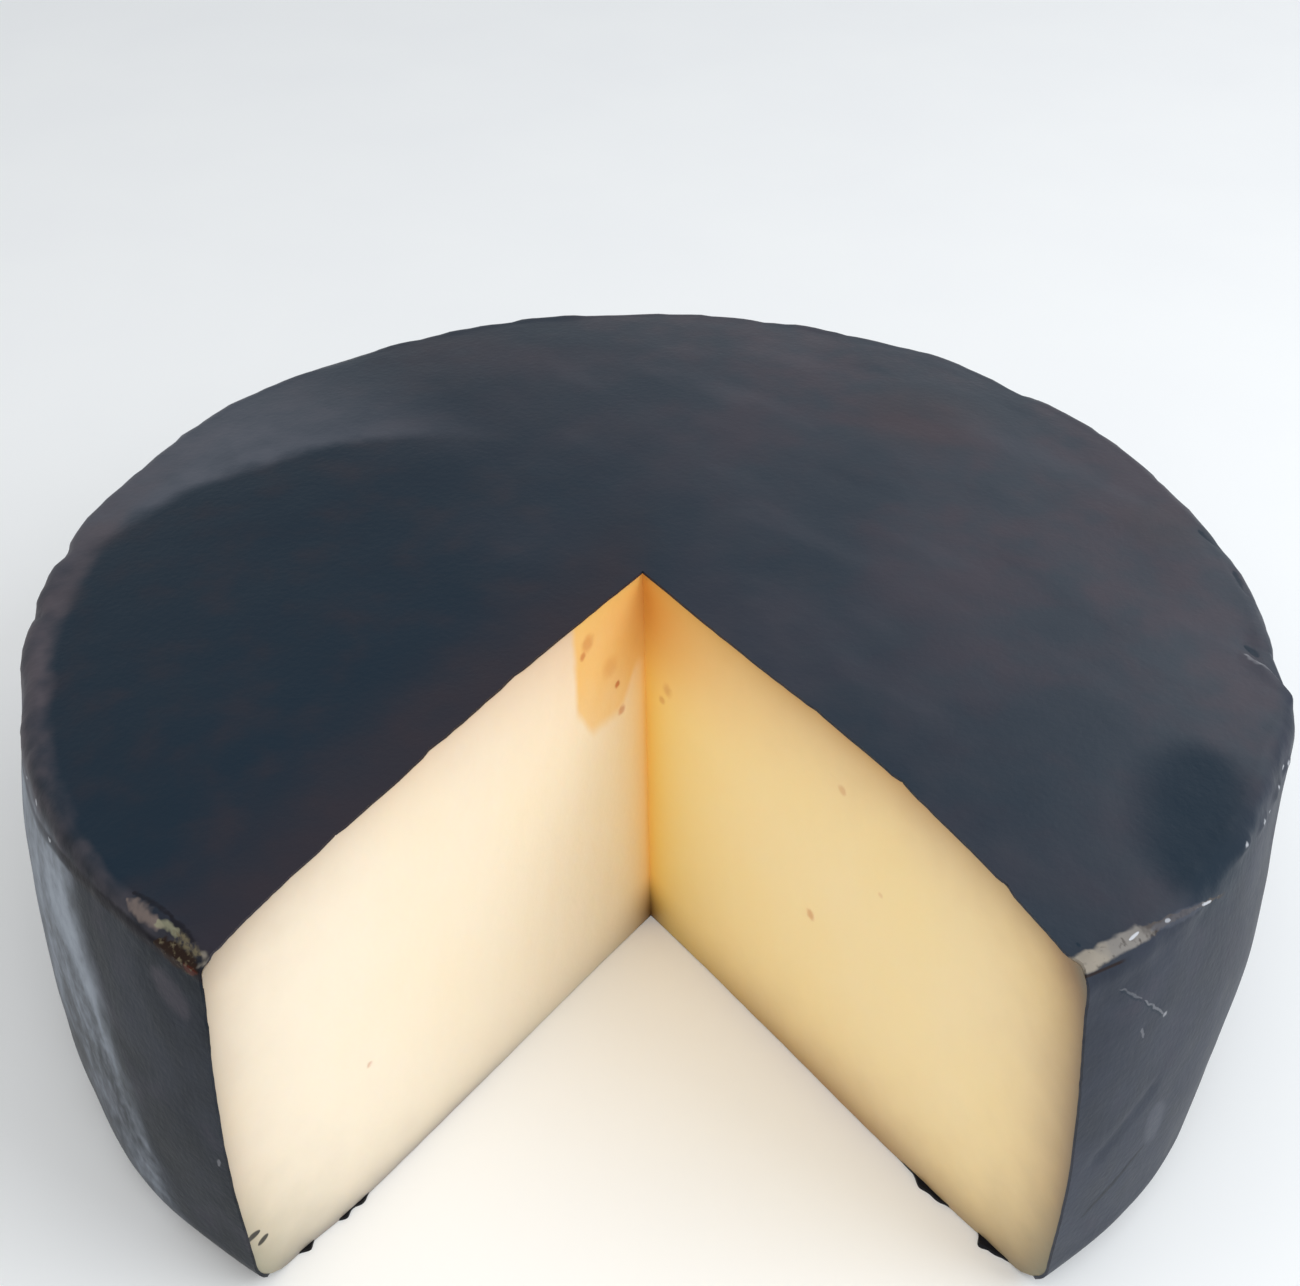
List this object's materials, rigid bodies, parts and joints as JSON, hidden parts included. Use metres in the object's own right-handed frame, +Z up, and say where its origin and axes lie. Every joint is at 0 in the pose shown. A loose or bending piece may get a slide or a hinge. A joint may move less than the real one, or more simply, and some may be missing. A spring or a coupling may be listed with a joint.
{
  "type": "hard cheese wheel with a wedge cut out",
  "caption": "Low round hard cheese wheel in a thin black coating, with one wedge cut out to the middle and smooth ivory paste on both cut faces.",
  "frame": {"origin": "the wheel's own axis where it meets the surface the wheel stands on", "axes": "+Z up along the wheel's axis; the missing wedge opens towards -Y; +X to the right of someone who looks into the gap"},
  "size_m": [0.2495, 0.2283, 0.09],
  "materials": {
    "coating": "thin black food coating, satin, with faint pale bloom and scuffs along the rim",
    "paste": "smooth moist ivory cheese paste, satin, greyer close to the coating"
  },
  "bodies": {
    "root": {"cheese_wheel": "coating"}
  },
  "joints": []
}
